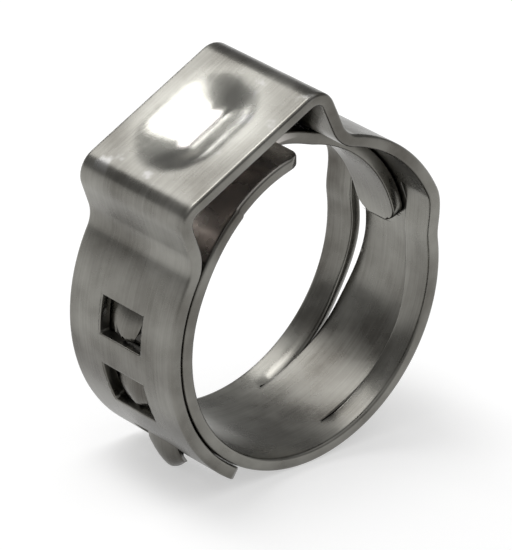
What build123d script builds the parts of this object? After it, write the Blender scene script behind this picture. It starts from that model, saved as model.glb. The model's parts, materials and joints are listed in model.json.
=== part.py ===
"""Ear hose clamp: a stepless one-ear clamp pressed and coiled from one strip of stainless steel.

The bore axis is +Y, +Z is up and the origin is the middle of the bore. Lengths are in
millimetres. Angles are in degrees round the bore, from +X towards +Z, and go past 360 where
the strip has been right round.

The strip starts as a narrow tongue inside the ring. It widens at a shoulder under the ear and
runs down the left side as the inner course, which carries three lanced hooks. Round the bottom
and up the right side it is the only course: there its middle is slit free and pressed outwards
as a web, which leaves a rail each side and a channel for the tongue. Both rails then step
outwards over the tongue, the strip rises into the ear and comes down the left side as the
outer course, whose windows the hooks stand in.
"""

from build123d import *

import os
from math import acos, cos, degrees, radians, sin

# --- the strip ---------------------------------------------------------------------------------
bore_diameter = 14.0
strip_width = 7.0
strip_thickness = 0.6
course_gap = 0.06
edge_break = 0.1

# --- places along the strip, in degrees round the bore --------------------------------------------
tongue_tip_at = 12.0
lift_starts_at = 77.0
shoulder_at = 99.0
trim_step_at = 128.0
lift_ends_at = 162.0
join_at = 250.0
slit_starts_at = 288.0
web_is_out_at = 303.0
rail_step_starts_at = 371.6
rail_step_ends_at = 389.6
free_end_at = 240.2

# --- tongue, shoulder and free end ----------------------------------------------------------------
tongue_width = 2.54
tongue_nose_flat = 0.64
shoulder_round = 0.55
shoulder_root_round = 0.25
end_lift = 0.45
lift_shares = {140: 0.36, 121: 0.75, 103: 1.0, 88: 0.55}
trim_depth = 0.07
free_end_round = 0.45

# --- slits: half widths from the middle plane, low and high on the right side ---------------------
rail_edge_low = 2.12
rail_edge_high = 1.8
web_edge_low = 2.06
web_edge_high = 1.48
taper_low_at = -28.0
taper_high_at = 4.0

# --- ear ------------------------------------------------------------------------------------------
ear_at = 117.6
ear_height = 9.48
ear_width = 8.68
ear_shift = 0.42
left_leg_splay = 5.0
fold_radius = 0.85
foot_radius = 1.6

# --- dimple in the top of the ear -----------------------------------------------------------------
dimple_length = 6.0
dimple_width = 4.0
dimple_depth = 0.5
dimple_rim_round = 0.8

# --- windows in the outer course, and the hooks in them -------------------------------------------
window_width = 2.7
window_round = 0.15
window_length = {"upper": 1.8, "middle": 2.1, "lower": 1.55}
window_top_at = {"upper": 171.1, "middle": 194.9, "lower": 224.1}
hook_width = {"upper": 1.8, "middle": 1.8, "lower": 2.15}
hook_rise = {"upper": 0.5, "middle": 0.5, "lower": 1.45}
hook_root_bend = {"upper": 0.0, "middle": 0.0, "lower": 50.0}
hook_tip_lean = {"upper": -12.0, "middle": -12.0, "lower": 12.0}
hook_tip_thickness = {"upper": 0.56, "middle": 0.56, "lower": 0.44}
hook_nose_flat = 0.1
hook_play = 0.2
guide_hook_tip_at = 237.1
lance_play = {"upper": 0.06, "middle": 0.06, "lower": 0.7}
lance_side_play = 0.06

# --- worked out from the sizes above --------------------------------------------------------------
half = strip_thickness / 2
inner_mid = bore_diameter / 2 + half
course_pitch = strip_thickness + course_gap
outer_mid = inner_mid + course_pitch
far_out = ear_height + strip_width
tiny = 1e-3
half_turn = 180
full_turn = 360


def at(radius, angle):
    """Point in the plane of the ring at this radius and angle."""
    return (radius * cos(radians(angle)), radius * sin(radians(angle)))


def height_over_bore(edge):
    """How far the middle of an edge lies from the bore axis, square to the top of the ear."""
    middle = edge.center()
    return middle.X * cos(radians(ear_at)) + middle.Z * sin(radians(ear_at))


def along(angle):
    """Direction round the bore at this angle."""
    return (-sin(radians(angle)), cos(radians(angle)))


def facing_plane(radius, angle):
    """Plane that faces outwards at this place, with its x along the bore axis."""
    x, z = at(radius, angle)
    return Plane(
        origin=(x, 0, z),
        x_dir=(0, 1, 0),
        z_dir=(cos(radians(angle)), 0, sin(radians(angle))),
    )


def degrees_for(length, radius):
    """Angle that a length round the bore takes at this radius."""
    return degrees(length / radius)


def crossing(angle_a, distance_a, angle_b, distance_b):
    """Point at these two distances from the bore axis along two directions."""
    turn = sin(radians(angle_b - angle_a))
    x = (distance_a * sin(radians(angle_b)) - distance_b * sin(radians(angle_a))) / turn
    z = (distance_b * cos(radians(angle_a)) - distance_a * cos(radians(angle_b))) / turn
    return (x, z)


# The middle of the strip in the ear is three straight lines: the top and two legs. Each is
# given by the direction square to it and its distance from the bore axis along that direction.
right_leg_normal = ear_at - 90
left_leg_normal = ear_at + 90 - left_leg_splay
right_leg_distance = ear_width / 2 + ear_shift
left_leg_distance = (ear_width / 2 - ear_shift) * cos(radians(left_leg_splay)) + (
    ear_height * sin(radians(left_leg_splay))
)
right_foot_at = right_leg_normal + degrees(
    acos((right_leg_distance + foot_radius) / (outer_mid + foot_radius))
)
left_foot_at = left_leg_normal - degrees(
    acos((left_leg_distance + foot_radius) / (outer_mid + foot_radius))
)
right_fold_centre = crossing(
    right_leg_normal, right_leg_distance - fold_radius, ear_at, ear_height - fold_radius
)
left_fold_centre = crossing(
    ear_at, ear_height - fold_radius, left_leg_normal, left_leg_distance - fold_radius
)


def outer_run(side):
    """One face of the strip from the bottom join to the free end. Side is -1 inside, 1 outside."""
    offset = side * half
    low = inner_mid + offset
    high = outer_mid + offset
    foot = foot_radius - offset
    fold = fold_radius + offset
    right_foot_centre = at(outer_mid + foot_radius, right_foot_at)
    left_foot_centre = at(outer_mid + foot_radius, left_foot_at)
    CenterArc((0, 0), low, join_at, rail_step_starts_at - join_at)
    Spline(
        at(low, rail_step_starts_at),
        at(high, rail_step_ends_at),
        tangents=(along(rail_step_starts_at), along(rail_step_ends_at)),
    )
    CenterArc((0, 0), high, rail_step_ends_at, right_foot_at + full_turn - rail_step_ends_at)
    right_foot = CenterArc(
        right_foot_centre, foot, right_foot_at + half_turn, right_leg_normal - right_foot_at
    )
    right_fold = CenterArc(right_fold_centre, fold, right_leg_normal, 90)
    left_fold = CenterArc(left_fold_centre, fold, ear_at, left_leg_normal - ear_at)
    left_foot = CenterArc(
        left_foot_centre, foot, left_leg_normal + half_turn, left_foot_at - left_leg_normal
    )
    Line(right_foot @ 1, right_fold @ 0)
    Line(right_fold @ 1, left_fold @ 0)
    Line(left_fold @ 1, left_foot @ 0)
    CenterArc((0, 0), high, left_foot_at, free_end_at - left_foot_at)


def inner_run(side):
    """One face of the strip from the bottom join back to the tongue tip."""
    face = inner_mid + side * half
    CenterArc((0, 0), face, lift_ends_at, join_at - lift_ends_at)
    Spline(
        at(face, lift_ends_at),
        *[at(face + end_lift * share, angle) for angle, share in lift_shares.items()],
        at(face, lift_starts_at),
        tangents=(along(lift_ends_at - half_turn), along(lift_starts_at - half_turn)),
    )
    CenterArc((0, 0), face, tongue_tip_at, lift_starts_at - tongue_tip_at)


def ring_sector(inside, outside, start, end):
    """Outline of a piece of ring between two radii and two angles."""
    inner = CenterArc((0, 0), inside, start, end - start)
    outer = CenterArc((0, 0), outside, start, end - start)
    Line(inner @ 0, outer @ 0)
    Line(inner @ 1, outer @ 1)


def on_rim(edge, reach):
    """True for an edge that lies in one of the two planes at this distance from the middle."""
    box = edge.bounding_box()
    return box.size.Y < tiny and abs(abs(box.center().Y) - reach) < tiny


def through(edge, reach, radius, angle):
    """True for an edge through the strip at this place, at this distance from the middle."""
    middle = edge.center()
    place = at(radius, angle)
    near = abs(middle.X - place[0]) + abs(middle.Z - place[1]) < strip_thickness
    return on_rim(edge, reach) and near and edge.length < strip_thickness + tiny


def tapered_outline(low_edge, high_edge):
    """Outline across the strip that is wide low on the right side and narrower high up."""
    low_z = at(inner_mid, taper_low_at)[1]
    high_z = at(inner_mid, taper_high_at)[1]
    for side in (-1, 1):
        Line((side * low_edge, -far_out), (side * low_edge, low_z))
        Spline(
            (side * low_edge, low_z), (side * high_edge, high_z), tangents=((0, 1), (0, 1))
        )
        Line((side * high_edge, high_z), (side * high_edge, far_out))
    Line((-low_edge, -far_out), (low_edge, -far_out))
    Line((-high_edge, far_out), (high_edge, far_out))


# --- the web: the middle of the strip, pressed outwards between the two slits --------------------
with BuildPart() as web:
    with BuildSketch(Plane.XZ):
        with BuildLine():
            for side in (-1, 1):
                low = inner_mid + side * half
                high = outer_mid + side * half
                Spline(
                    at(low, slit_starts_at),
                    at(high, web_is_out_at),
                    tangents=(along(slit_starts_at), along(web_is_out_at)),
                )
                CenterArc((0, 0), high, web_is_out_at, rail_step_ends_at - web_is_out_at)
            Line(
                at(inner_mid - half, slit_starts_at),
                at(inner_mid + half, slit_starts_at),
            )
            Line(
                at(outer_mid - half, rail_step_ends_at),
                at(outer_mid + half, rail_step_ends_at),
            )
        make_face()
    extrude(amount=strip_width / 2, both=True)
    with BuildSketch(Plane.YZ):
        with BuildLine():
            tapered_outline(web_edge_low, web_edge_high)
        make_face()
    extrude(amount=far_out, mode=Mode.INTERSECT)

# --- the room cut out between the two rails for the web ------------------------------------------
with BuildPart() as rail_gap:
    with BuildSketch(Plane.XZ):
        with BuildLine():
            ring_sector(
                inner_mid - strip_thickness,
                outer_mid + strip_thickness,
                slit_starts_at,
                rail_step_ends_at,
            )
        make_face()
    extrude(amount=strip_width / 2, both=True)
    with BuildSketch(Plane.YZ):
        with BuildLine():
            tapered_outline(rail_edge_low, rail_edge_high)
        make_face()
    extrude(amount=far_out, mode=Mode.INTERSECT)

# --- the dimple: a round-ended hollow pressed into the top of the ear ----------------------------
# Its bowl is part of a round bar with ball ends, lying along the ear above its top.
bowl_radius = ((dimple_width / 2) ** 2 + dimple_depth**2) / (2 * dimple_depth)
bowl_straight = dimple_length - dimple_width
bowl_height = ear_height + half + bowl_radius - dimple_depth
bowl_middle = (
    at(bowl_height, ear_at)[0] + ear_shift * cos(radians(right_leg_normal)),
    at(bowl_height, ear_at)[1] + ear_shift * sin(radians(right_leg_normal)),
)
bowl_plane = Plane(
    origin=(bowl_middle[0], 0, bowl_middle[1]),
    x_dir=(cos(radians(right_leg_normal)), 0, sin(radians(right_leg_normal))),
    z_dir=(0, -1, 0),
)


def bowl_outline(radius):
    """Half of a round-ended bar, below its own middle line."""
    run = bowl_straight / 2
    right = CenterArc((run, 0), radius, -90, 90)
    left = CenterArc((-run, 0), radius, 180, 90)
    Line(left @ 1, right @ 0)
    Line(left @ 0, right @ 1)


with BuildPart() as dimple_skin:
    with BuildSketch(bowl_plane):
        with BuildLine():
            bowl_outline(bowl_radius + strip_thickness)
        make_face()
    revolve(axis=Axis(bowl_plane.origin, bowl_plane.x_dir))
    split(bisect_by=facing_plane(ear_height, ear_at), keep=Keep.BOTTOM)

with BuildPart() as dimple_bowl:
    with BuildSketch(bowl_plane):
        with BuildLine():
            bowl_outline(bowl_radius)
        make_face()
    revolve(axis=Axis(bowl_plane.origin, bowl_plane.x_dir))

# --- the metal cut away on both sides of the tongue -----------------------------------------------
with BuildPart() as tongue_sides:
    with BuildSketch(Plane.XZ.offset(tongue_width / 2)):
        with BuildLine():
            ring_sector(
                inner_mid - strip_thickness,
                outer_mid + strip_thickness,
                tongue_tip_at - tongue_width,
                shoulder_at,
            )
        make_face()
    extrude(amount=strip_width)
    shoulder_end = tongue_sides.faces().sort_by(Axis.X)[0]
    shoulder_root = shoulder_end.edges().filter_by(lambda edge: on_rim(edge, tongue_width / 2))
    fillet(shoulder_root, shoulder_root_round)
    mirror(about=Plane.XZ)

# --- the hooks: tabs lanced from the inner course and bent outwards into the windows --------------
hook_tip_at = {
    name: window_top_at[name] + degrees_for(window_length[name] - hook_play, outer_mid)
    for name in ("upper", "middle")
}
hook_tip_at["lower"] = guide_hook_tip_at


def lanced_hook(name):
    """One hook, from its root in the inner course to its round nose."""
    root_at = window_top_at[name]
    tip_at = hook_tip_at[name]
    tip_outside = inner_mid + half + hook_rise[name]
    tip_inside = tip_outside - hook_tip_thickness[name]
    tip_mid = (tip_inside + tip_outside) / 2
    with BuildPart() as hook:
        with BuildSketch(Plane.XZ):
            with BuildLine():
                for root, tip in (
                    (inner_mid - half, tip_inside),
                    (inner_mid + half, tip_outside),
                ):
                    Spline(
                        at(root, root_at),
                        at(tip, tip_at),
                        tangents=(
                            along(root_at - hook_root_bend[name]),
                            along(tip_at - hook_tip_lean[name]),
                        ),
                    )
                Line(at(inner_mid - half, root_at), at(inner_mid + half, root_at))
                Line(at(tip_inside, tip_at), at(tip_outside, tip_at))
            make_face()
        extrude(amount=hook_width[name] / 2, both=True)
        with BuildSketch(facing_plane(tip_mid, tip_at)):
            with Locations((0, -strip_width / 2)):
                RectangleRounded(
                    hook_width[name], strip_width, (hook_width[name] - hook_nose_flat) / 2
                )
        extrude(amount=strip_width / 2, both=True, mode=Mode.INTERSECT)
    return hook.part


# --- the inner end: tongue, shoulder and the inner course with its lanced hooks -------------------
with BuildPart() as inner_end:
    with BuildSketch(Plane.XZ):
        with BuildLine():
            inner_run(-1)
            inner_run(1)
            for angle in (tongue_tip_at, join_at):
                Line(at(inner_mid - half, angle), at(inner_mid + half, angle))
        make_face()
    extrude(amount=strip_width / 2, both=True)
    add(tongue_sides.part, mode=Mode.SUBTRACT)
    shoulder_mid = inner_mid + end_lift
    fillet(
        inner_end.edges().filter_by(
            lambda edge: through(edge, strip_width / 2, shoulder_mid, shoulder_at)
        ),
        shoulder_round,
    )
    fillet(
        inner_end.edges().filter_by(
            lambda edge: through(edge, tongue_width / 2, inner_mid, tongue_tip_at)
        ),
        (tongue_width - tongue_nose_flat) / 2,
    )
    chamfer(
        inner_end.edges().filter_by(
            lambda edge: on_rim(edge, strip_width / 2)
            and not through(edge, strip_width / 2, inner_mid, join_at)
        ),
        edge_break,
    )
    for side in (-1, 1):
        with BuildSketch(Plane.XZ.offset(side * (strip_width / 2 - trim_depth))):
            with BuildLine():
                ring_sector(
                    inner_mid - strip_thickness,
                    outer_mid + strip_thickness,
                    tongue_tip_at,
                    trim_step_at,
                )
            make_face()
        extrude(amount=side * strip_width, mode=Mode.SUBTRACT)
    for name, root_at in window_top_at.items():
        with BuildSketch(Plane.XZ):
            with BuildLine():
                ring_sector(
                    inner_mid - strip_thickness,
                    inner_mid + strip_thickness,
                    root_at,
                    hook_tip_at[name] + degrees_for(lance_play[name], inner_mid),
                )
            make_face()
        extrude(
            amount=hook_width[name] / 2 + lance_side_play, both=True, mode=Mode.SUBTRACT
        )
    for name in window_top_at:
        add(lanced_hook(name))

# --- the outer course: from the bottom round the right side, over the ear and down the left -------
with BuildPart() as outer_course:
    with BuildSketch(Plane.XZ):
        with BuildLine():
            outer_run(-1)
            outer_run(1)
            for middle, angle in ((inner_mid, join_at), (outer_mid, free_end_at)):
                Line(at(middle - half, angle), at(middle + half, angle))
        make_face()
    extrude(amount=strip_width / 2, both=True)
    fillet(
        outer_course.edges().filter_by(
            lambda edge: through(edge, strip_width / 2, outer_mid, free_end_at)
        ),
        free_end_round,
    )
    chamfer(
        outer_course.edges().filter_by(
            lambda edge: on_rim(edge, strip_width / 2)
            and not through(edge, strip_width / 2, inner_mid, join_at)
        ),
        edge_break,
    )
    for name, top_at in window_top_at.items():
        middle_at = top_at + degrees_for(window_length[name] / 2, outer_mid)
        with BuildSketch(facing_plane(outer_mid, middle_at)):
            RectangleRounded(window_width, window_length[name], window_round)
        extrude(amount=strip_thickness, both=True, mode=Mode.SUBTRACT)
    add(rail_gap.part, mode=Mode.SUBTRACT)
    add(web.part)

# --- the whole clamp, one strip -------------------------------------------------------------------
with BuildPart() as ear_hose_clamp:
    add(outer_course.part)
    add(inner_end.part)
    add(dimple_skin.part)
    add(dimple_bowl.part, mode=Mode.SUBTRACT)
    dimple_rim = ear_hose_clamp.edges().filter_by(
        lambda edge: abs(height_over_bore(edge) - ear_height - half) < tiny
        and edge.bounding_box().size.Y < dimple_width + tiny
        and abs(edge.center().Y) < dimple_width / 2 + tiny
    )
    fillet(dimple_rim, dimple_rim_round)

os.makedirs("parts", exist_ok=True)
ear_hose_clamp.part.label = "ear_hose_clamp"
export_step(ear_hose_clamp.part, "parts/ear_hose_clamp.step")
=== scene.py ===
"""Ear hose clamp: its one steel strip, formed as a sheet, and the stage it stands on.

The clamp's bore axis is +Y and +Z is up. The strip's sizes are in millimetres and are turned to
metres by MM where they enter the scene. The floor and the lamps are given in metres.
"""

import json
import math

import bpy
import numpy as np
from mathutils import Matrix, Vector


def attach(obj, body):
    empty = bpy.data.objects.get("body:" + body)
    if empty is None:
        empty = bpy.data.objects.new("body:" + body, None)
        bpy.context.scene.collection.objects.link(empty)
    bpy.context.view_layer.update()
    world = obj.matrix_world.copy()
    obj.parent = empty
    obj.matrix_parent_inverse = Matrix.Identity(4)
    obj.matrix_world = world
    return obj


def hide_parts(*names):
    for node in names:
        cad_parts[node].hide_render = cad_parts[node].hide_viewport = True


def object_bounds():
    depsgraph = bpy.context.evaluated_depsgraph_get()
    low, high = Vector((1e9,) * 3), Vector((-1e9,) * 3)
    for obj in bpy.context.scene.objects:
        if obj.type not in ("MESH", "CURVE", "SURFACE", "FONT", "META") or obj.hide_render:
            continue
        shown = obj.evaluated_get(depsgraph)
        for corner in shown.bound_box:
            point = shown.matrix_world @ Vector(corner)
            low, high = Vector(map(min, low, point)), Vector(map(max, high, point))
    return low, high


bl_info = {
    "name": "Ear hose clamp",
    "version": (1, 0, 0),
    "blender": (4, 5, 0),
    "location": "3D View > Sidebar > Clamp",
    "description": "Forms an ear hose clamp's strip in mill-finish steel and sets its stage",
    "category": "Object",
}

MM = 0.001
STRIP_NODE = "ear_hose_clamp"
ROOT_BODY = "root"

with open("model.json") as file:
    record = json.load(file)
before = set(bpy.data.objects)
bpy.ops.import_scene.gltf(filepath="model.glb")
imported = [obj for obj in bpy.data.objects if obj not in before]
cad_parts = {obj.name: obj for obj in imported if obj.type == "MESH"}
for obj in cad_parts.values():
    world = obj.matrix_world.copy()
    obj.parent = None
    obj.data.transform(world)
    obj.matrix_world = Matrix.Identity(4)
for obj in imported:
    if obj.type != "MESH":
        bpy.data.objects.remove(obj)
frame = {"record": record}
cad_low, cad_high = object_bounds()
bore_radius_mm = frame["record"]["mounts"][0]["dims"]["r_mm"]


def linear(hex_colour):
    """Linear RGB of an sRGB hex colour.

    Each channel c becomes ((c + 0.055) / 1.055) to the power 2.4, or c / 12.92 up to 0.04045.
    """
    channels = np.array([int(hex_colour[i : i + 2], 16) for i in (0, 2, 4)]) / 255
    curved = ((channels + 0.055) / 1.055) ** 2.4
    return tuple(float(c) for c in np.where(channels <= 0.04045, channels / 12.92, curved))


def node(tree, kind, settings=None, links=None, **values):
    """Adds one node, with its settings, its socket values by name or number, and its links."""
    made = tree.nodes.new(kind)
    for name, value in (settings or {}).items():
        setattr(made, name, value)
    for name, value in values.items():
        made.inputs[name.replace("_", " ")].default_value = value
    for socket, source in (links or {}).items():
        if isinstance(source, (int, float)):
            made.inputs[socket].default_value = source
        else:
            tree.links.new(source, made.inputs[socket])
    return made


# --- the strip as a sheet ------------------------------------------------------------------------
# Lengths in millimetres, angles in degrees round the bore from +X towards +Z, past 360 where
# the strip has been right round. They are the solid's sizes, apart from the web's ramp and its
# narrow end, the lips of the slits, the hooks' play, domes and guide width, and the ear's hollow.
STRIP_WIDTH = 7.0
THICKNESS = 0.6
COURSE_GAP = 0.06
TONGUE_TIP_AT = 12.0
LIFT_STARTS_AT = 77.0
SHOULDER_AT = 99.0
LIFT_TOP_AT = 103.0
# Power that steepens the start of the inner end's lift.
LIFT_EASE = 0.8
TRIM_STEP_AT = 128.0
LIFT_ENDS_AT = 162.0
SLIT_STARTS_AT = 288.0
WEB_IS_OUT_AT = 348.0
RAIL_STEP_STARTS_AT = 371.6
RAIL_STEP_ENDS_AT = 389.6
FREE_END_AT = 600.2
TONGUE_WIDTH = 2.54
TONGUE_NOSE_ROUND = 0.95
SHOULDER_ROUND = 0.55
FREE_END_ROUND = 0.45
# Degrees of the strip over which the rows straighten again behind a rounded corner.
SHOULDER_FADE = 15
FREE_END_FADE = 10
TRIM_DEPTH = 0.07
END_LIFT = 0.45
RAIL_EDGE_LOW = 2.12
RAIL_EDGE_HIGH = 1.8
WEB_EDGE_LOW = 2.06
WEB_EDGE_HIGH = 1.56
TAPER_LOW_AT = 332.0
TAPER_HIGH_AT = 364.0
# The lip rolled outwards along each slit: its width, its height at the slit's start and end, the
# degrees over which it starts, and the share of it on the near rail.
LIP_WIDTH = 0.75
LIP_LOW = 0.2
LIP_HIGH = 0.05
LIP_STARTS_OVER = 6
LIP_NEAR_SHARE = 0.35
EAR_AT = 117.6
EAR_HEIGHT = 9.48
EAR_WIDTH = 8.68
EAR_SHIFT = 0.42
LEFT_LEG_SPLAY = 5.0
FOLD_RADIUS = 0.85
FOOT_RADIUS = 1.6
DIMPLE_LENGTH = 7.0
DIMPLE_WIDTH = 5.2
DIMPLE_DEPTH = 0.6
DIMPLE_AHEAD = 0.1
DIMPLE_ASIDE = 0.35
WINDOW_WIDTH = 2.7
LANCE_SIDE_PLAY = 0.06
# How far short of its window's far edge a locking hook ends.
HOOK_PLAY = 0.3
# Each hook: where its root and the window's top lie, the window's length, the hook's width,
# its rise, how sharply it bends at the root, how far its middle is domed over its sides and
# how far the lanced slot runs past its tip.
LOCKING_HOOK = {"width": 1.8, "rise": 0.5, "bend": 1.5, "dome": 0.14, "slot": 0.16}
GUIDE_HOOK = {"width": 1.85, "rise": 1.45, "bend": 1.7, "dome": 0.4, "slot": 0.7, "tip": 237.1}
HOOKS = (
    {"at": 171.1, "window": 1.8, **LOCKING_HOOK},
    {"at": 194.9, "window": 2.1, **LOCKING_HOOK},
    {"at": 224.1, "window": 1.55, **GUIDE_HOOK},
)
HOOK_NOSE_FLAT = 0.1
# Degrees either side of the guide hook's root in which the columns follow its width.
GUIDE_HOOK_SPAN = 18
# Distance between rows along the strip.
ROW_SPACING = 0.14
# Extra rows at the tongue's tip, as shares of the round of its nose.
NOSE_ROWS = (0.02, 0.1, 0.3)
# How round each kind of open edge is worn, as a share of the wear of the strip's long edges.
TONGUE_SOFTNESS = 0.5
WINDOW_SOFTNESS = 0.4
SLIT_SOFTNESS = 0.6
LANCE_SOFTNESS = 0.15
# Degrees over which the wear of the slits' edges starts and ends.
SLIT_WEAR_STARTS_OVER = 8
SLIT_WEAR_ENDS_OVER = 5
# Width of the last band, which gives the worn edge room beside the strip's long edge.
EDGE_MARGIN = 0.22
# Columns of cells in each band of the strip, from its middle out to each side: the hook, its
# lanced slot, the rest of the tongue, of a window and of the web, the slit, the rail and its
# margin. Under them, the places of the bands in which cells are left open.
COLUMNS = (7, 1, 2, 1, 4, 1, 8, 1)
HOOK_BAND = 0
LANCE_BAND = 1
TONGUE_BAND = 2
WINDOW_BAND = 3
SLIT_BAND = 5
BEVEL_SEGMENTS = 3
# Less than any two rows or columns are apart, so that a station counts as reached.
TINY = 1e-6

inner_mid = bore_radius_mm + THICKNESS / 2
outer_mid = inner_mid + THICKNESS + COURSE_GAP


def smooth(share):
    """Eases from 0 to 1: 3 u squared less 2 u cubed, held at 0 and 1 outside."""
    u = np.clip(share, 0, 1)
    return u * u * (3 - 2 * u)


def polar(radius, angle):
    """Points x, z at this radius and angle in degrees."""
    return np.stack([radius * np.cos(np.radians(angle)), radius * np.sin(np.radians(angle))], -1)


def set_across(point, across=0):
    """The x, y, z of a point x, z that lies this far across the strip."""
    return (point[0], across, point[1])


def round_corner(distance, radius):
    """How far a rounded corner cuts in, this far from the corner along its other side.

    It is r less the root of r squared less (r - d) squared, and 0 past the corner.
    """
    inside = np.clip(radius - distance, 0, radius)
    return radius - np.sqrt(radius**2 - inside**2)


def stations(breaks, spacing):
    """Stations about this far apart that include every break."""
    spans = [
        np.linspace(start, end, max(2, int(np.ceil((end - start) / spacing)) + 1))[:-1]
        for start, end in zip(breaks[:-1], breaks[1:])
    ]
    return np.concatenate([*spans, breaks[-1:]])


def arc(centre, radius, start, sweep):
    """Points round a centre from a start angle through a sweep, both in degrees."""
    count = max(4, int(np.ceil(abs(np.radians(sweep)) * radius / ROW_SPACING)))
    return np.array(centre) + polar(radius, start + np.linspace(0, sweep, count))


def crossing(angle_a, distance_a, angle_b, distance_b):
    """Point at these two distances from the bore axis along two directions."""
    way = polar(1, np.array([angle_a, angle_b]))
    return np.linalg.solve(way, [distance_a, distance_b])


def ear_run():
    """Middle of the strip over the ear, from the right foot to the left foot.

    Foot arc, straight leg, fold arc, straight top, fold arc, straight leg and foot arc follow
    each other, each tangent to the next. The legs and the top are given by the direction
    square to them and their distance from the bore axis along it.
    """
    right = EAR_AT - 90
    left = EAR_AT + 90 - LEFT_LEG_SPLAY
    right_off = EAR_WIDTH / 2 + EAR_SHIFT
    splay = math.radians(LEFT_LEG_SPLAY)
    left_off = (EAR_WIDTH / 2 - EAR_SHIFT) * math.cos(splay) + EAR_HEIGHT * math.sin(splay)
    reach = outer_mid + FOOT_RADIUS
    right_foot = right + math.degrees(math.acos((right_off + FOOT_RADIUS) / reach))
    left_foot = left - math.degrees(math.acos((left_off + FOOT_RADIUS) / reach))
    top = EAR_HEIGHT - FOLD_RADIUS
    right_fold = crossing(right, right_off - FOLD_RADIUS, EAR_AT, top)
    left_fold = crossing(EAR_AT, top, left, left_off - FOLD_RADIUS)
    arcs = [
        arc(polar(reach, right_foot), FOOT_RADIUS, right_foot + 180, right - right_foot),
        arc(right_fold, FOLD_RADIUS, right, 90),
        arc(left_fold, FOLD_RADIUS, EAR_AT, left - EAR_AT),
        arc(polar(reach, left_foot), FOOT_RADIUS, left + 180, left_foot - left),
    ]
    run = [arcs[0]]
    for following in arcs[1:]:
        start, end = run[-1][-1], following[0]
        count = int(np.ceil(np.linalg.norm(end - start) / ROW_SPACING)) + 1
        share = np.linspace(0, 1, count)[1:-1, None]
        run += [start + (end - start) * share, following]
    return right_foot + 360, left_foot + 360, np.concatenate(run)


def hook_tip(hook):
    """Angle of a hook's tip: a little short of the far edge of its window."""
    return hook.get("tip", hook["at"] + math.degrees((hook["window"] - HOOK_PLAY) / outer_mid))


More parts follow.
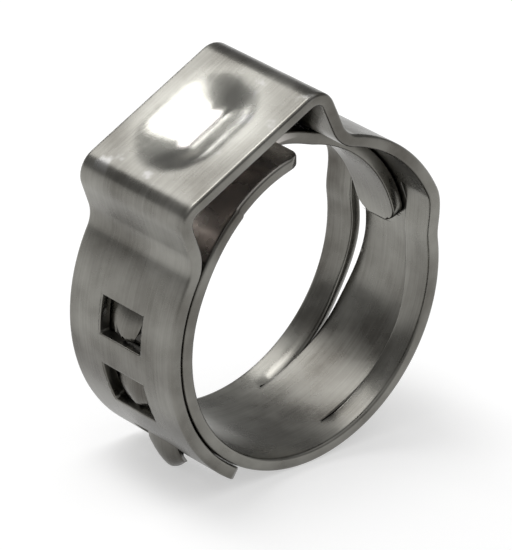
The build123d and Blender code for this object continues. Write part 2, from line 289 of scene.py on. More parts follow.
def strip_sheet():
    """Middle surface of the strip: points on a grid, its metal cells and its edges' wear.

    Rows follow the strip from the tongue's tip to the free end and columns run across it. A
    point is the strip's path at its row, moved out by the lift of the inner end, a hook, the
    web, a rail's lip or the dimple, and across by the width of the strip there. The cells of
    the windows, slits and lanced slots, and those beside the tongue, are left open.
    """
    right_foot, left_foot, ear = ear_run()
    degrees_apart = math.degrees(ROW_SPACING / inner_mid)
    slots = [hook_tip(hook) + math.degrees(hook["slot"] / inner_mid) for hook in HOOKS]
    inner_breaks = [TONGUE_TIP_AT, SHOULDER_AT, TRIM_STEP_AT]
    for hook, slot in zip(HOOKS, slots):
        inner_breaks += [hook["at"], hook_tip(hook), slot]
    inner_breaks += [SLIT_STARTS_AT, WEB_IS_OUT_AT, RAIL_STEP_STARTS_AT, RAIL_STEP_ENDS_AT]
    outer_breaks = [left_foot]
    for hook in HOOKS:
        window = math.degrees(hook["window"] / outer_mid)
        outer_breaks += [hook["at"] + 360, hook["at"] + window + 360]
    nose = TONGUE_TIP_AT + np.degrees(TONGUE_NOSE_ROUND / inner_mid) * np.array(NOSE_ROWS)
    inner = stations([*inner_breaks, right_foot], degrees_apart)
    inner = np.unique(np.concatenate([inner, nose]))
    outer = stations([*outer_breaks, FREE_END_AT], degrees_apart)
    at_ear = np.full(len(ear) - 2, EAR_AT + 360)
    angle = np.concatenate([inner, at_ear, outer])[:, None]
    in_ear = np.concatenate([inner < 0, at_ear > 0, outer < 0])[:, None]

    taper = smooth((angle - TAPER_LOW_AT) / (TAPER_HIGH_AT - TAPER_LOW_AT))
    web_edge = WEB_EDGE_LOW + (WEB_EDGE_HIGH - WEB_EDGE_LOW) * taper
    rail_edge = RAIL_EDGE_LOW + (RAIL_EDGE_HIGH - RAIL_EDGE_LOW) * taper
    hook_half = np.full_like(angle, LOCKING_HOOK["width"] / 2)
    hook_half[np.abs(angle - HOOKS[-1]["at"]) < GUIDE_HOOK_SPAN] = GUIDE_HOOK["width"] / 2
    half_width = STRIP_WIDTH / 2 - TRIM_DEPTH * (angle < TRIM_STEP_AT)
    steady = np.ones_like(angle)
    edges = [
        steady * 0,
        hook_half,
        hook_half + LANCE_SIDE_PLAY,
        steady * TONGUE_WIDTH / 2,
        steady * WINDOW_WIDTH / 2,
        web_edge,
        rail_edge,
        half_width - EDGE_MARGIN,
        half_width,
    ]
    spans = [
        low + (high - low) * np.linspace(0, 1, count + 1)[None, 1:]
        for low, high, count in zip(edges[:-1], edges[1:], COLUMNS)
    ]
    side = np.concatenate(spans, axis=1)
    across = np.concatenate([-side[:, ::-1], steady * 0, side], axis=1)
    band = np.concatenate([np.full(count, index) for index, count in enumerate(COLUMNS)])
    band = np.concatenate([band[::-1], band])
    reach = np.abs(across)

    # Radius of the middle surface: the inner course, then the rails, then the outer course.
    up = (angle - LIFT_STARTS_AT) / (LIFT_TOP_AT - LIFT_STARTS_AT)
    down = (LIFT_ENDS_AT - angle) / (LIFT_ENDS_AT - LIFT_TOP_AT)
    raised = smooth(np.clip(up, 0, 1) ** LIFT_EASE)
    lift = END_LIFT * np.where(angle < LIFT_TOP_AT, raised, smooth(down))
    rails = smooth((angle - RAIL_STEP_STARTS_AT) / (RAIL_STEP_ENDS_AT - RAIL_STEP_STARTS_AT))
    web = smooth((angle - SLIT_STARTS_AT) / (WEB_IS_OUT_AT - SLIT_STARTS_AT))
    in_slits = (angle > SLIT_STARTS_AT) & (angle < RAIL_STEP_ENDS_AT)
    from_slit = np.clip(1 - (reach - rail_edge) / LIP_WIDTH, 0, 1)
    lip = LIP_LOW + (LIP_HIGH - LIP_LOW) * smooth(
        (angle - SLIT_STARTS_AT) / (RAIL_STEP_STARTS_AT - SLIT_STARTS_AT)
    )
    lip_starts = smooth((angle - SLIT_STARTS_AT) / LIP_STARTS_OVER)
    lip = lip * lip_starts * (1 - rails) * from_slit**2
    lip = lip * np.where(across < 0, LIP_NEAR_SHARE, 1)
    is_web = in_slits & (reach <= web_edge + TINY)
    is_rail = in_slits & ~is_web
    radius = inner_mid + lift + (outer_mid - inner_mid) * np.where(is_web, web, rails)
    radius = radius + is_rail * lip
    angle = angle + across * 0

    # Hooks: the middle columns bend outwards from the root and close to a round nose.
    for hook in HOOKS:
        tip = hook_tip(hook)
        inside = (angle >= hook["at"]) & (angle <= tip + TINY) & (reach <= hook_half + TINY)
        along = np.clip((angle - hook["at"]) / (tip - hook["at"]), 0, 1)
        rise = hook["rise"] * (1 - (1 - along) ** hook["bend"])
        across_share = reach / (hook["width"] / 2)
        radius = radius + inside * (rise - hook["dome"] * along * across_share**2)
        nose_round = (hook["width"] - HOOK_NOSE_FLAT) / 2
        to_tip = np.radians(tip - angle) * inner_mid
        width = hook["width"] / 2 - round_corner(to_tip, nose_round)
        across = np.where(inside, across * width / (hook["width"] / 2), across)

    # The tongue's nose, and the corners of the shoulder and of the free end.
    to_tip = np.radians(angle - TONGUE_TIP_AT) * inner_mid
    nose_width = 1 - round_corner(to_tip, TONGUE_NOSE_ROUND) / (TONGUE_WIDTH / 2)
    across = np.where(angle < SHOULDER_AT, across * nose_width, across)
    shoulder = round_corner(half_width - reach, SHOULDER_ROUND) / inner_mid
    fade = np.clip(1 - (angle - SHOULDER_AT) / SHOULDER_FADE, 0, 1) * (angle >= SHOULDER_AT)
    angle = angle + np.degrees(shoulder) * fade
    corner = round_corner(half_width - reach, FREE_END_ROUND) / outer_mid
    fade = np.clip(1 - (FREE_END_AT - angle) / FREE_END_FADE, 0, 1)
    angle = angle - np.degrees(corner) * fade

    point = polar(radius, angle)
    ear_rows = np.repeat(ear[1:-1, None, :], across.shape[1], axis=1)
    point[in_ear[:, 0]] = ear_rows
    point = point - polar(1, EAR_AT) * dimple(point, across)[..., None] * in_ear[..., None]
    grid = np.stack([point[..., 0], across, point[..., 1]], -1)

    # Cells that are metal: rows run from one station to the next.
    start = np.concatenate([inner, at_ear, outer])[:-1, None] + TINY
    beside_tongue = (start < SHOULDER_AT) & (band > TONGUE_BAND)
    slit_cell = (start > SLIT_STARTS_AT) & (start < RAIL_STEP_ENDS_AT) & (band == SLIT_BAND)
    open_cell = beside_tongue | slit_cell
    for hook, slot in zip(HOOKS, slots):
        window_end = hook["at"] + 360 + math.degrees(hook["window"] / outer_mid)
        open_cell |= (start > hook["at"] + 360) & (start < window_end) & (band <= WINDOW_BAND)
        open_cell |= (start > hook["at"]) & (start < slot) & (band == LANCE_BAND)
        open_cell |= (start > hook_tip(hook)) & (start < slot) & (band == HOOK_BAND)

    # How round each open edge is worn: the strip's long edges most, and its slits less.
    wear = smooth((angle - SLIT_STARTS_AT) / SLIT_WEAR_STARTS_OVER)
    wear = wear * smooth((RAIL_STEP_ENDS_AT - angle) / SLIT_WEAR_ENDS_OVER)
    slit_edge = in_slits & (reach < rail_edge + TINY)
    softness = np.where(slit_edge, SLIT_SOFTNESS * wear, LANCE_SOFTNESS)
    softness = np.where(angle > left_foot, WINDOW_SOFTNESS, softness)
    softness = np.where(angle < SHOULDER_AT + 1, TONGUE_SOFTNESS, softness)
    softness = np.where(reach > half_width - TINY, 1, softness)
    return grid, ~open_cell, softness


def dimple(point, across):
    """Depth of the hollow in the ear's top: depth times the squared cosine of a quarter turn
    times the distance from the hollow's spine over its half width, and 0 outside it."""
    forward = polar(1, EAR_AT - 90)
    along = np.abs(point @ forward - EAR_SHIFT - DIMPLE_AHEAD)
    spine = (DIMPLE_LENGTH - DIMPLE_WIDTH) / 2
    past = np.clip(along - spine, 0, None)
    distance = np.hypot(past, across - DIMPLE_ASIDE) / (DIMPLE_WIDTH / 2)
    on_top = point @ polar(1, EAR_AT) > EAR_HEIGHT - FOLD_RADIUS
    return DIMPLE_DEPTH * np.cos(np.clip(distance, 0, 1) * math.pi / 2) ** 2 * on_top


def sheet_mesh(name, grid, metal, softness):
    """A mesh of the grid's points, with a four-sided face for each cell that is metal.

    Its open edges carry a bevel weight: the lower of the softness of their two ends.
    """
    rows, columns = grid.shape[:2]
    index = np.arange(rows * columns).reshape(rows, columns)
    corners = np.stack([index[:-1, :-1], index[:-1, 1:], index[1:, 1:], index[1:, :-1]], -1)
    used, faces = np.unique(corners[metal], return_inverse=True)
    mesh = bpy.data.meshes.new(name)
    mesh.from_pydata((grid.reshape(-1, 3) * MM)[used], [], faces.reshape(-1, 4))
    ends = np.empty(len(mesh.edges) * 2, dtype=np.int32)
    mesh.edges.foreach_get("vertices", ends)
    edge_of_corner = np.empty(len(mesh.loops), dtype=np.int32)
    mesh.loops.foreach_get("edge_index", edge_of_corner)
    is_open = np.bincount(edge_of_corner, minlength=len(mesh.edges)) == 1
    weight = softness.reshape(-1)[used][ends.reshape(-1, 2)].min(axis=1) * is_open
    worn = mesh.attributes.new("bevel_weight_edge", "FLOAT", "EDGE")
    worn.data.foreach_set("value", weight.astype(np.float32))
    mesh.shade_smooth()
    return mesh


# --- mill-finish stainless steel -----------------------------------------------------------------
# Distances in millimetres, and values of the noise from 0 to 1. FROM is where a pattern starts
# and WHOLE is where it has its full strength.

PRESSED_FROM, PRESSED_WHOLE = DIMPLE_LENGTH * 0.55, DIMPLE_WIDTH * 0.4
# How far the colour in the ear's hollow is lightened: a painted highlight.
PAINTED_HIGHLIGHT_IN_HOLLOW = 0.5
RUB_FROM, RUB_WHOLE = 0.6, 0.7
EAR_SKIN_FROM, EAR_SKIN_WHOLE = EAR_HEIGHT + 0.05, EAR_HEIGHT + 0.28
# Shares of the patterns in the steel's tone, and the tones that are fully dark and fully light.
LINE_SHARE = 0.14
PATCH_SHARE = 0.36
STAIN_SHARE = 0.6
DARK_TONE, LIGHT_TONE = 0.38, 0.78
# Values of the patches where the steel is smoothest and roughest, and the lines' share of the
# bump.
SMOOTH_PATCH, ROUGH_PATCH = 0.3, 0.7
LINE_BUMP_SHARE = 0.3
# The painted fill light under the ear, which lightens the steel lying in shade there: where it ends
# and where it is whole, over the bore's axis towards the ear, ahead along the ear's top, out from
# the axis, and across the strip.
UNDER_TOP = (EAR_HEIGHT - 0.24, EAR_HEIGHT - 0.29)
OVER_OPENING = (5.0, 5.5)
BEFORE_RIGHT_LEG = (EAR_SHIFT + EAR_WIDTH / 2 - 0.8, EAR_SHIFT + EAR_WIDTH / 2 - 2.6)
AFTER_LEFT_LEG = (EAR_SHIFT - EAR_WIDTH / 2 + 0.1, EAR_SHIFT - EAR_WIDTH / 2 + 0.2)
COVERED_OUT = (7.5, 7.55)
NEAR_EDGE = (-STRIP_WIDTH / 2 + 0.1, -STRIP_WIDTH / 2 + 0.25)
FAR_EDGE = (STRIP_WIDTH / 2 - 0.1, STRIP_WIDTH / 2 - 0.25)
# Sockets of a node that mixes colours: its first and second colour, and its result.
MIX_FIRST, MIX_SECOND = 6, 7
MIX_RESULT = 2


def mill_finish_steel(look):
    """Annealed and cold-rolled stainless strip, as it comes off the coil.

    Rolling leaves a dull, slightly warm grey with fine lines along the strip, and pressing the ear
    rubs it here and there, so colour, roughness and bump all carry lines and soft patches. The
    colour is also lightened in the ear's hollow, a painted highlight, and under the ear, painted
    fill light in the shade there.
    """
    material = bpy.data.materials.new("mill_finish_stainless_steel")
    material.use_nodes = True
    tree = material.node_tree
    tree.nodes.clear()
    place = node(tree, "ShaderNodeTexCoord").outputs["Object"]
    parts = node(tree, "ShaderNodeSeparateXYZ", links={0: place}).outputs
    out = node(tree, "ShaderNodeCombineXYZ", links={"X": parts["X"], "Z": parts["Z"]}).outputs[0]
    radius = node(tree, "ShaderNodeVectorMath", {"operation": "LENGTH"}, {0: out}).outputs["Value"]
    # Every point drawn in to the bore, so that the rolling lines run round it without a seam.
    onto_bore = node(tree, "ShaderNodeVectorMath", {"operation": "NORMALIZE"}, {0: out}).outputs[0]
    drawn_in = node(tree, "ShaderNodeVectorMath", {"operation": "SCALE"}, {0: onto_bore})
    drawn_in.inputs["Scale"].default_value = bore_radius_mm * MM
    across = node(tree, "ShaderNodeCombineXYZ", links={"Y": parts["Y"]}).outputs[0]
    rolled = node(
        tree, "ShaderNodeVectorMath", {"operation": "ADD"}, {0: drawn_in.outputs[0], 1: across}
    ).outputs[0]

    def grain(source, length_mm, width_mm, detail):
        """Noise whose blobs are width_mm across the strip and length_mm the other ways."""
        scaled = node(
            tree,
            "ShaderNodeMapping",
            {"vector_type": "POINT"},
            {"Vector": source},
            Scale=(1 / (length_mm * MM), 1 / (width_mm * MM), 1 / (length_mm * MM)),
        ).outputs[0]
        return node(
            tree, "ShaderNodeTexNoise", links={"Vector": scaled}, Scale=1.0, Detail=detail
        ).outputs["Fac"]

    lines = grain(rolled, look.line_length, look.line_spacing, detail=2.0)
    patches = grain(place, look.patch_size, look.patch_size, detail=3.0)
    stains = grain(place, look.stain_size, look.stain_size, detail=1.0)
    grit = grain(place, look.grit_size, look.grit_size, detail=1.0)
    rubs = grain(place, look.rub_size, look.rub_size, detail=4.0)

    # Pressing burnishes the ear's hollow, which lowers its roughness, and the hollow's colour is
    # lightened there as a painted highlight. Handling rubs the ear round it.
    hollow = polar(EAR_HEIGHT, EAR_AT) + polar(EAR_SHIFT + DIMPLE_AHEAD, EAR_AT - 90)
    from_hollow = node(tree, "ShaderNodeVectorMath", {"operation": "DISTANCE"}, {0: place})
    from_hollow.inputs[1].default_value = set_across(hollow * MM, DIMPLE_ASIDE * MM)
    hollow_burnish_and_painted_highlight = node(
        tree,
        "ShaderNodeMapRange",
        {"interpolation_type": "SMOOTHSTEP"},
        {"Value": from_hollow.outputs["Value"]},
        From_Min=PRESSED_FROM * MM,
        From_Max=PRESSED_WHOLE * MM,
    ).outputs[0]
    burnish = node(
        tree,
        "ShaderNodeMath",
        {"operation": "MULTIPLY_ADD"},
        {0: hollow_burnish_and_painted_highlight, 1: look.burnish - 1, 2: 1.0},
    ).outputs[0]
    rubbed = node(
        tree,
        "ShaderNodeMapRange",
        {"interpolation_type": "SMOOTHSTEP"},
        {"Value": rubs},
        From_Min=RUB_FROM,
        From_Max=RUB_WHOLE,
    ).outputs[0]
    over_bore = node(tree, "ShaderNodeVectorMath", {"operation": "DOT_PRODUCT"}, {0: place})
    over_bore.inputs[1].default_value = set_across(polar(1, EAR_AT))
    over_bore = over_bore.outputs["Value"]
    on_ear = node(
        tree,
        "ShaderNodeMapRange",
        {"interpolation_type": "SMOOTHSTEP"},
        {"Value": over_bore},
        From_Min=EAR_SKIN_FROM * MM,
        From_Max=EAR_SKIN_WHOLE * MM,
    ).outputs[0]
    rubbed = node(
        tree, "ShaderNodeMath", {"operation": "MULTIPLY"}, {0: rubbed, 1: on_ear}
    ).outputs[0]

    # Under the ear the strip's colour is lightened towards a bright steel colour: painted fill
    # light in the shaded hollow under the ear.
    ahead = node(tree, "ShaderNodeVectorMath", {"operation": "DOT_PRODUCT"}, {0: place})
    ahead.inputs[1].default_value = set_across(polar(1, EAR_AT - 90))
    ahead = ahead.outputs["Value"]
    painted_fill_light_under_ear = 1.0
    for source, (ends, whole) in (
        (over_bore, UNDER_TOP),
        (over_bore, OVER_OPENING),
        (ahead, BEFORE_RIGHT_LEG),
        (ahead, AFTER_LEFT_LEG),
        (radius, COVERED_OUT),
        (parts["Y"], NEAR_EDGE),
        (parts["Y"], FAR_EDGE),
    ):
        side = node(
            tree,
            "ShaderNodeMapRange",
            links={"Value": source},
            From_Min=ends * MM,
            From_Max=whole * MM,
        ).outputs[0]
        painted_fill_light_under_ear = node(
            tree, "ShaderNodeMath", {"operation": "MULTIPLY"}, {0: side, 1: painted_fill_light_under_ear}
        ).outputs[0]

    def blend(first, first_share, second, second_share):
        """Sum of two patterns, each times its share."""
        part = node(
            tree, "ShaderNodeMath", {"operation": "MULTIPLY"}, {0: second, 1: second_share}
        ).outputs[0]
        return node(
            tree,
            "ShaderNodeMath",
            {"operation": "MULTIPLY_ADD"},
            {0: first, 1: first_share, 2: part},
        ).outputs[0]

    tone = blend(blend(lines, LINE_SHARE, patches, PATCH_SHARE), 1.0, stains, STAIN_SHARE)
    shade = node(
        tree,
        "ShaderNodeMapRange",
        links={"Value": tone},
        From_Min=DARK_TONE,
        From_Max=LIGHT_TONE,
    ).outputs[0]
    # The colour in the ear's hollow is lightened towards the light steel: a painted highlight.
    shade = node(
        tree,
        "ShaderNodeMath",
        {"operation": "MULTIPLY_ADD", "use_clamp": True},
        {0: hollow_burnish_and_painted_highlight, 1: PAINTED_HIGHLIGHT_IN_HOLLOW, 2: shade},
    ).outputs[0]
    metal = node(tree, "ShaderNodeMix", {"data_type": "RGBA"}, {"Factor": shade})
    metal.inputs[MIX_FIRST].default_value = (*look.dark_colour, 1)
    metal.inputs[MIX_SECOND].default_value = (*look.light_colour, 1)
    colour = metal
    # Over the steel go the rubbed marks, which are wear, and then the painted fill light under the
    # ear.
    for share, over in ((rubbed, look.rubbed_colour), (painted_fill_light_under_ear, look.painted_fill_light_colour)):
        links = {"Factor": share, MIX_FIRST: colour.outputs[MIX_RESULT]}
        colour = node(tree, "ShaderNodeMix", {"data_type": "RGBA"}, links)
        colour.inputs[MIX_SECOND].default_value = (*over, 1)
    rough = node(
        tree,
        "ShaderNodeMapRange",
        links={"Value": patches},
        From_Min=SMOOTH_PATCH,
        From_Max=ROUGH_PATCH,
        To_Min=look.roughness - look.roughness_spread,
        To_Max=look.roughness + look.roughness_spread,
    ).outputs[0]
    rough = node(
        tree, "ShaderNodeMath", {"operation": "MULTIPLY"}, {0: rough, 1: burnish}
    ).outputs[0]
    height = node(
        tree,
        "ShaderNodeMath",
        {"operation": "MULTIPLY_ADD"},
        {0: lines, 1: LINE_BUMP_SHARE, 2: grit},
    ).outputs[0]
    bump = node(
        tree,
        "ShaderNodeBump",
        links={"Height": height},
        Strength=look.bump_strength,
        Distance=look.bump_depth * MM,
    ).outputs[0]
    shader = node(
        tree,
        "ShaderNodeBsdfPrincipled",
        links={
            "Base Color": colour.outputs[MIX_RESULT],
            "Roughness": rough,
            "Normal": bump,
        },
        Metallic=1.0,
    )
    node(tree, "ShaderNodeOutputMaterial", links={"Surface": shader.outputs[0]})
    return material


# --- settings ------------------------------------------------------------------------------------

FOCAL_PIXELS = 5000
SENSOR_MM = 36
FRAME_HEIGHT_PIXELS = 550


class ClampLook(bpy.types.PropertyGroup):
    """Worn edges, colours and grain of the steel strip."""

    edge_round: bpy.props.FloatProperty(
        name="Edge round (mm)",
        description="How far the strip's cut edges are worn round",
        default=0.16,
        min=0,
        max=0.25,
    )
    light_colour: bpy.props.FloatVectorProperty(
        name="Light steel",
        description="Colour of the steel where rolling left it bright",
        subtype="COLOR",
        default=linear("95948e"),
        min=0,
        max=1,
    )
    dark_colour: bpy.props.FloatVectorProperty(
        name="Dark steel",
        description="Colour of the steel where the rolled surface is dull",
        subtype="COLOR",
        default=linear("504d48"),
        min=0,
        max=1,
    )
    roughness: bpy.props.FloatProperty(
        name="Roughness",
        description="Middle roughness of the rolled surface",
        subtype="FACTOR",
        default=0.28,
        min=0,
        max=1,
    )
    roughness_spread: bpy.props.FloatProperty(
        name="Roughness spread",
        description="How far patches are smoother or rougher than the middle",
        subtype="FACTOR",
        default=0.06,
        min=0,
        max=0.3,
    )
    burnish: bpy.props.FloatProperty(
        name="Burnish",
        description="Roughness of the ear's hollow as a share of the roughness elsewhere",
        subtype="FACTOR",
        default=0.85,
        min=0,
        max=1,
    )
    rubbed_colour: bpy.props.FloatVectorProperty(
        name="Rubbed steel",
        description="Colour of the marks that handling rubs on the ear",
        subtype="COLOR",
        default=linear("9a9997"),
        min=0,
        max=1,
    )
    # Painted fill light: a bright colour put on the strip under the ear, where it lies in shade.
    painted_fill_light_colour: bpy.props.FloatVectorProperty(
        name="Painted fill light",
        description="Colour of the strip under the ear, where nothing rubs or soils it",
        subtype="COLOR",
        default=linear("d8d3cf"),
        min=0,
        max=1,
    )
    rub_size: bpy.props.FloatProperty(
        name="Rub size (mm)",
        description="Size of the rubbed marks on the ear",
        default=1.7,
        min=0.1,
    )
    stain_size: bpy.props.FloatProperty(
        name="Stain size (mm)",
        description="Size of the broad duller stretches of the strip",
        default=4.5,
        min=0.1,
    )
    line_length: bpy.props.FloatProperty(
        name="Line length (mm)",
        description="Length of a rolling line",
        default=3.0,
        min=0.1,
    )
    line_spacing: bpy.props.FloatProperty(
        name="Line spacing (mm)",
        description="Distance between rolling lines, drawn coarser than real ones to show at all",
        default=0.09,
        min=0.01,
    )
    patch_size: bpy.props.FloatProperty(
        name="Patch size (mm)",
        description="Size of the soft patches left by oil and handling",
        default=1.6,
        min=0.1,
    )
    grit_size: bpy.props.FloatProperty(
        name="Grit size (mm)",
        description="Size of the fine pitting between the lines",
        default=0.07,
        min=0.01,
    )
    bump_strength: bpy.props.FloatProperty(
        name="Bump strength",
        description="How strongly lines and pits tilt the surface",
        subtype="FACTOR",
        default=0.35,
        min=0,
        max=1,
    )
    bump_depth: bpy.props.FloatProperty(
        name="Bump depth (mm)",
        description="Depth of lines and pits",
        default=0.006,
        min=0,
    )


class ClampStage(bpy.types.PropertyGroup):
    """Floor, lamps and camera."""

    floor_colour: bpy.props.FloatVectorProperty(
        name="Floor",
        description="Colour of the paper that the clamp stands on",
        subtype="COLOR",
        default=linear("cfcfcf"),
        min=0,
        max=1,
    )
    floor_size: bpy.props.FloatProperty(
        name="Floor size",
        description="Side of the square of paper",
        subtype="DISTANCE",
        default=1.2,
    )
    floor_glow: bpy.props.FloatProperty(
        name="Floor glow",
        description="Brightness added to the paper where it is seen, so that it shows white",
        default=0.48,
        min=0,
    )
    ceiling_lamp: bpy.props.FloatProperty(
        name="Ceiling lamp",
        description="Power of the large soft lamp over the ear",
        subtype="POWER",
        default=0.3,
    )
    sky_lamp: bpy.props.FloatProperty(
        name="Sky lamp",
        description="Power of the wide soft lamp that the flat of the ear mirrors",
        subtype="POWER",
        default=0.17,
    )
    far_lamp: bpy.props.FloatProperty(
        name="Far lamp",
        description="Power of the small lamp low on the far side",
        subtype="POWER",
        default=0.05,
    )
    room_strength: bpy.props.FloatProperty(
        name="Room",
        description="Brightness of the room between the pale wall and the ceiling",
        default=0.3,
        min=0,
    )
    ceiling_strength: bpy.props.FloatProperty(
        name="Ceiling",
        description="Brightness of the ceiling",
        default=0.8,
        min=0,
    )
    wall_top: bpy.props.FloatProperty(
        name="Wall top",
        description="Sine of the elevation at which the pale wall ends",
        default=0.1,
        min=0.01,
        max=0.4,
    )
    ceiling_edge: bpy.props.FloatProperty(
        name="Ceiling edge",
        description="Sine of the elevation at which the ceiling starts",
        default=0.72,
        min=0.3,
        max=0.9,
    )
    camera_azimuth: bpy.props.FloatProperty(
        name="Camera azimuth (degrees)",
        description="Direction of the camera round +Z, 0 looking along the bore",
        default=-41.412,
    )
    camera_elevation: bpy.props.FloatProperty(
        name="Camera elevation (degrees)",
        description="Height of the camera above the horizon",
        default=28.166,
    )
    camera_roll: bpy.props.FloatProperty(
        name="Camera turn (degrees)",
        description="Turn of the camera's mount about the bore axis",
        default=3.6,
    )
    camera_distance: bpy.props.FloatProperty(
        name="Camera distance (mm)",
        description="Distance from the camera to the middle of the bore, along its view",
        default=222.34,
    )
    camera_aim: bpy.props.FloatVectorProperty(
        name="Camera aim (mm)",
        description="How far right and down of the frame's middle the bore's middle lies",
        size=2,
        default=(0.257, 0.392),
    )
    camera_lens: bpy.props.FloatProperty(
        name="Lens (mm)",
        description="Focal length for a 36 mm sensor",
        default=FOCAL_PIXELS * SENSOR_MM / FRAME_HEIGHT_PIXELS,
    )


# --- steps ---------------------------------------------------------------------------------------


class DressStrip(bpy.types.Operator):
    """Form the strip as a sheet with rounded edges, in mill-finish stainless steel"""

    bl_idname = "clamp.dress_strip"
    bl_label = "Form the strip"

    def execute(self, context):
        look = context.scene.clamp_look
        mesh = sheet_mesh("clamp_strip", *strip_sheet())
        strip = bpy.data.objects.new("clamp_strip", mesh)
        context.scene.collection.objects.link(strip)
        mesh.materials.append(mill_finish_steel(look))
        wall = strip.modifiers.new("thickness", "SOLIDIFY")
        wall.thickness = THICKNESS * MM
        wall.offset = 0
        wall.use_even_offset = True
        bevel = strip.modifiers.new("edge_round", "BEVEL")
        bevel.width = look.edge_round * MM
        bevel.segments = BEVEL_SEGMENTS
        bevel.limit_method = "WEIGHT"
        bevel.use_clamp_overlap = False
        strip.modifiers.new("even_shading", "WEIGHTED_NORMAL")
        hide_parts(STRIP_NODE)
        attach(strip, ROOT_BODY)
        return {"FINISHED"}


class SetStage(bpy.types.Operator):
    """Lay the paper floor, hang the lamps and place the camera"""

    bl_idname = "clamp.set_stage"
    bl_label = "Set the stage"

    def execute(self, context):
        stage = context.scene.clamp_stage
        lay_floor(stage)
        light_room(stage)
        place_camera(stage)
        context.scene.view_settings.view_transform = "Standard"
        return {"FINISHED"}


# --- stage ---------------------------------------------------------------------------------------

WALL_FADE = 0.08
CEILING_FADE = 0.1


def seen(tree):
    """1 where the ray comes from the camera, a reflection or glass, and 0 elsewhere."""
    path = node(tree, "ShaderNodeLightPath").outputs
    mirrored = node(
        tree,
        "ShaderNodeMath",
        {"operation": "MAXIMUM"},
        {0: path["Is Glossy Ray"], 1: path["Is Transmission Ray"]},
    ).outputs[0]
    return node(
        tree,
        "ShaderNodeMath",
        {"operation": "MAXIMUM"},
        {0: path["Is Camera Ray"], 1: mirrored},
    ).outputs[0]


def lay_floor(stage):
    """A square of white paper under the lowest point of the clamp.

    Where it is seen, a glow on top of its own shading brings the open paper up to white, and
    the clamp's shadow stays.
    """
    half = stage.floor_size / 2
    level = min(cad_low.z, 0)
    mesh = bpy.data.meshes.new("floor")
    sides = ((-half, -half), (half, -half), (half, half), (-half, half))
    corners = [(x, y, level) for x, y in sides]
    mesh.from_pydata(corners, [], [(0, 1, 2, 3)])
    floor = bpy.data.objects.new("floor", mesh)
    bpy.context.scene.collection.objects.link(floor)
    material = bpy.data.materials.new("white_paper")
    material.use_nodes = True
    tree = material.node_tree
    tree.nodes.clear()
    glow = node(
        tree,
        "ShaderNodeMath",
        {"operation": "MULTIPLY"},
        {0: seen(tree), 1: stage.floor_glow},
    ).outputs[0]
    paper = node(
        tree,
        "ShaderNodeBsdfPrincipled",
        links={"Emission Strength": glow},
        Base_Color=(*stage.floor_colour, 1),
        Emission_Color=(1, 1, 1, 1),
        Roughness=1.0,
    )
    paper.inputs["Specular IOR Level"].default_value = 0
    node(tree, "ShaderNodeOutputMaterial", links={"Surface": paper.outputs[0]})
    mesh.materials.append(material)


def light_room(stage):
    """A pale wall low down, a dim room above it, a bright ceiling, and the lamps."""
    world = bpy.data.worlds.new("studio")
    bpy.context.scene.world = world
    world.use_nodes = True
    tree = world.node_tree
    tree.nodes.clear()
    way = node(tree, "ShaderNodeTexCoord").outputs["Generated"]
    height = node(tree, "ShaderNodeSeparateXYZ", links={0: way}).outputs["Z"]
    wall = node(tree, "ShaderNodeValToRGB", links={"Fac": height})
    # Sine of the elevation, and the brightness there.
    stops = (
        (0.0, 1.0),
        (stage.wall_top, 1.0),
        (stage.wall_top + WALL_FADE, stage.room_strength),
        (stage.ceiling_edge - CEILING_FADE, stage.room_strength),
        (stage.ceiling_edge + CEILING_FADE, stage.ceiling_strength),
    )
    for spot in stops[2:]:
        wall.color_ramp.elements.new(spot[0])
    for element, (place, bright) in zip(wall.color_ramp.elements, stops):
        element.position = place
        element.color = (bright, bright, bright, 1)
    glow = node(tree, "ShaderNodeBackground", links={"Color": wall.outputs["Color"]}).outputs[0]
    node(tree, "ShaderNodeOutputWorld", links={"Surface": glow})
    hang_lamp("ceiling_lamp", stage.ceiling_lamp, size=(0.13, 0.13), place=(-0.05, 0.06, 0.3))
    hang_lamp("sky_lamp", stage.sky_lamp, size=(0.16, 0.14), place=(-0.02, 0.235, 0.265))
    hang_lamp("far_lamp", stage.far_lamp, size=(0.07, 0.03), place=(0.045, 0.315, 0.14))


def hang_lamp(name, power, size, place):
    """An area lamp of this power in watts, with this width and height, aimed at the clamp."""
    lamp = bpy.data.lights.new(name, "AREA")
    lamp.shape = "RECTANGLE"
    lamp.size, lamp.size_y = size
    lamp.energy = power
    hung = bpy.data.objects.new(name, lamp)
    bpy.context.scene.collection.objects.link(hung)
    hung.location = place
    hung.rotation_mode = "QUATERNION"
    hung.rotation_quaternion = (-Vector(place)).to_track_quat("-Z", "Y")


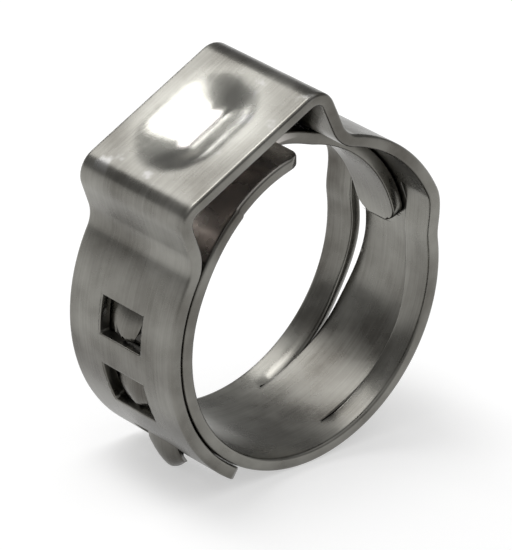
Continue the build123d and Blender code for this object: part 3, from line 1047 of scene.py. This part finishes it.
def place_camera(stage):
    """The camera looks down at the bore from its near left, turned a little about the bore axis."""
    azimuth = math.radians(stage.camera_azimuth)
    elevation = math.radians(stage.camera_elevation)
    back = Vector(
        (
            math.sin(azimuth) * math.cos(elevation),
            -math.cos(azimuth) * math.cos(elevation),
            math.sin(elevation),
        )
    )
    right = Vector((0, 0, 1)).cross(back).normalized()
    up = back.cross(right)
    aim_right, aim_down = stage.camera_aim
    place = (stage.camera_distance * back - aim_right * right + aim_down * up) * MM
    mount = Matrix.Rotation(-math.radians(stage.camera_roll), 3, "Y")
    axes = mount @ Matrix((right, up, back)).transposed()
    camera = bpy.data.objects.new("camera", bpy.data.cameras.new("camera"))
    camera.matrix_world = Matrix.Translation(mount @ place) @ axes.to_4x4()
    camera.data.lens = stage.camera_lens
    camera.data.clip_start = 0.01
    camera.data.clip_end = 10
    bpy.context.scene.collection.objects.link(camera)
    bpy.context.scene.camera = camera


# --- panel and registration ----------------------------------------------------------------------


class ClampPanel(bpy.types.Panel):
    """Sizes, colours and the steps that build the scene"""

    bl_idname = "VIEW3D_PT_clamp"
    bl_label = "Ear hose clamp"
    bl_space_type = "VIEW_3D"
    bl_region_type = "UI"
    bl_category = "Clamp"

    def draw(self, context):
        layout = self.layout
        for group in (context.scene.clamp_look, context.scene.clamp_stage):
            box = layout.box()
            for name in group.__annotations__:
                box.prop(group, name)
        for step in STEPS:
            layout.operator(step.bl_idname)


STEPS = (DressStrip, SetStage)
CLASSES = (ClampLook, ClampStage, *STEPS, ClampPanel)


def register():
    """Adds the classes and hangs the two groups of settings on the scene."""
    for cls in CLASSES:
        bpy.utils.register_class(cls)
    bpy.types.Scene.clamp_look = bpy.props.PointerProperty(type=ClampLook)
    bpy.types.Scene.clamp_stage = bpy.props.PointerProperty(type=ClampStage)


def unregister():
    """Takes the groups and the classes off again."""
    del bpy.types.Scene.clamp_stage
    del bpy.types.Scene.clamp_look
    for cls in reversed(CLASSES):
        bpy.utils.unregister_class(cls)


def main():
    """Builds the scene."""
    register()
    bpy.ops.clamp.dress_strip()
    bpy.ops.clamp.set_stage()


if __name__ == "__main__":
    main()
